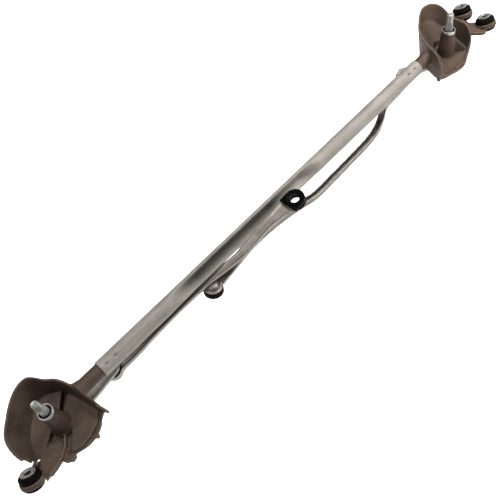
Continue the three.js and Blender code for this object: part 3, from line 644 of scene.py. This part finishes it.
# ---- castings ----
def housings():
    """Both castings, rounded, with the machined rims of their towers."""
    for side in (LEFT, RIGHT):
        node = f"{side['name']}_pivot_housing"
        stand_for(rounded_copy(node, f"{side['name']}_casting", 0.0009, 9), node)
        top = side["ring"]
        profile = softened([(8.2, top - 4), (10.42, top - 4), (10.35, top - 0.7), (9.7, top), (8.6, top),
                            (8.2, top - 0.5), (8.2, top - 4)], 0.15, 2)
        rim = turned(f"{side['name']}_tower_rim", profile, side_matrix(side))
        rim.data.materials.append(MATERIALS["machined_rim"])
        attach(rim, "frame")


# ---- shafts ----
SHAFT = {"radius": 6, "bottom": -47, "above": 27,
         "thread": 5, "thread_length": 15, "thread_depth": 0.72, "pitch": 1.5,
         "knurl_top": 5.4, "knurl_length": 11, "tooth_depth": 0.42, "teeth": 40}


def shaft(side):
    """A wiper shaft with its snap ring groove, knurled cone and helical thread."""
    top = side["ring"] + SHAFT["above"]
    undercut = 1.2
    thread_base = top - SHAFT["thread_length"]
    thread_start = thread_base + undercut
    knurl_base = thread_base - SHAFT["knurl_length"]
    groove = side["ring"] - 3.5

    def shape(radius, height, angle):
        if knurl_base + 0.8 < height < thread_base - 0.1:
            return radius - SHAFT["tooth_depth"] * (0.5 + 0.5 * math.cos(SHAFT["teeth"] * angle))
        if thread_start < height < top - 0.4 and radius > SHAFT["thread"] / 2:
            turn = (height / SHAFT["pitch"] - angle / (2 * math.pi)) % 1.0
            fade = min(1.0, (height - thread_start) / SHAFT["pitch"])
            return radius - SHAFT["thread_depth"] * abs(2 * turn - 1) * fade
        return radius

    bottom, wide = SHAFT["bottom"], SHAFT["radius"]
    profile = [(0, bottom), (wide - 0.4, bottom), (wide, bottom + 0.5), (wide, groove - 1.3),
               (wide - 0.7, groove - 1.3), (wide - 0.7, groove), (wide, groove), (wide, knurl_base + 0.4)]
    knurl_steps = 22
    for k in range(knurl_steps + 1):
        t = k / knurl_steps
        radius = wide + (SHAFT["knurl_top"] - wide) * t
        profile.append((radius, knurl_base + 0.5 + (SHAFT["knurl_length"] - 0.6) * t))
    profile += [(4.55, thread_base + 0.1), (4.35, thread_base + 0.9)]
    thread_steps = 150
    for k in range(thread_steps + 1):
        height = thread_start + (SHAFT["thread_length"] - undercut) * k / thread_steps
        chamfer = max(0.0, height - (top - 1.4))
        profile.append((SHAFT["thread"] - chamfer, height))
    profile += [(2.2, top), (1.5, top - 0.5), (0, top - 0.9)]
    facets = 4 * SHAFT["teeth"]
    piece = turned(f"{side['name']}_shaft_turned", profile, side_matrix(side), facets, shape)
    stand_for(piece, f"{side['name']}_pivot_shaft")


# ---- rubber mounts ----
def mounts():
    """Rubber grommets and flanged sleeves. An outline is (radius, height) points in the eye's frame."""
    neck = 3.9
    bore_reach, flange_height = 4.6, 12      # nearer the axis and lower than this is the sleeve's bore
    rubber = softened([(6.4, -8.4), (11.2, -8.4), (13.4, -6.4), (13.4, -neck), (11, -neck), (11, neck),
                       (13.4, neck), (14, neck + 1), (14, 8.6), (13.2, 10), (11.6, 10.4), (11.2, 11.5),
                       (6.4, 11.6), (6.4, -8.4)], 0.7, 4)
    steel = softened([(4.25, -9.4), (6, -9.4), (6, 11.9), (9.8, 11.9), (9.8, 13.3), (5.6, 13.3),
                      (4.25, 12.3), (4.25, -9.4)], 0.35, 3)
    for name in EYES:
        matrix = eye_matrix(name)
        grommet = turned(f"{name}_rubber", rubber, matrix)
        stand_for(grommet, f"{name}_grommet")
        sleeve = turned(f"{name}_steel", steel, matrix)
        stand_for(sleeve, f"{name}_sleeve", "sleeve_steel")
        # Painted shade: the bore's faces get a near-black material in place of the shade inside the sleeve.
        sleeve.data.materials.append(MATERIALS["bore_painted_shade"])
        home = (TO_METRES @ matrix).inverted()
        for face in sleeve.data.polygons:
            at = home @ face.center
            if math.hypot(at.x, at.y) < bore_reach and at.z < flange_height:
                face.material_index = 1


# ---- everything else ----
def pressings():
    """Rods, levers, ball studs and sockets, all from their CAD shapes."""
    for side in ("left", "right"):
        steel = "bright_rod_steel" if side == "left" else "rod_steel"
        rod = rounded_copy(f"{side}_drive_rod", f"{side}_rod_pressed", 0.0006, 4)
        stand_for(rod, f"{side}_drive_rod", steel)
        stand_for(bevelled_copy(f"{side}_crank_lever", f"{side}_lever_plated", 0.0007), f"{side}_crank_lever")
        stand_for(bevelled_copy(f"{side}_ball_stud", f"{side}_stud_formed", 0.0004), f"{side}_ball_stud")
        for end in ("outer", "inner"):
            node = f"{side}_rod_{end}_socket"
            stand_for(bevelled_copy(node, f"{side}_{end}_socket_moulded", 0.0004), node)


def kept_nodes():
    """Gives every CAD node its material, and smooths those still seen: bushes, seals, rings and washers."""
    for name, obj in NODES.items():
        mesh = obj.data
        mesh.materials.clear()
        mesh.materials.append(MATERIALS[SLOT_OF[name]])
        if obj.hide_render:
            continue
        drop_normals(mesh)
        mesh.polygons.foreach_set("use_smooth", [True] * len(mesh.polygons))
        join = obj.modifiers.new("weld", "WELD")
        join.merge_threshold = SAME_POINT
        split = obj.modifiers.new("split", "EDGE_SPLIT")
        split.split_angle = math.radians(35)


cross_tube()
housings()
for SIDE in (LEFT, RIGHT):
    shaft(SIDE)
mounts()
pressings()
kept_nodes()

bpy.context.view_layer.update()
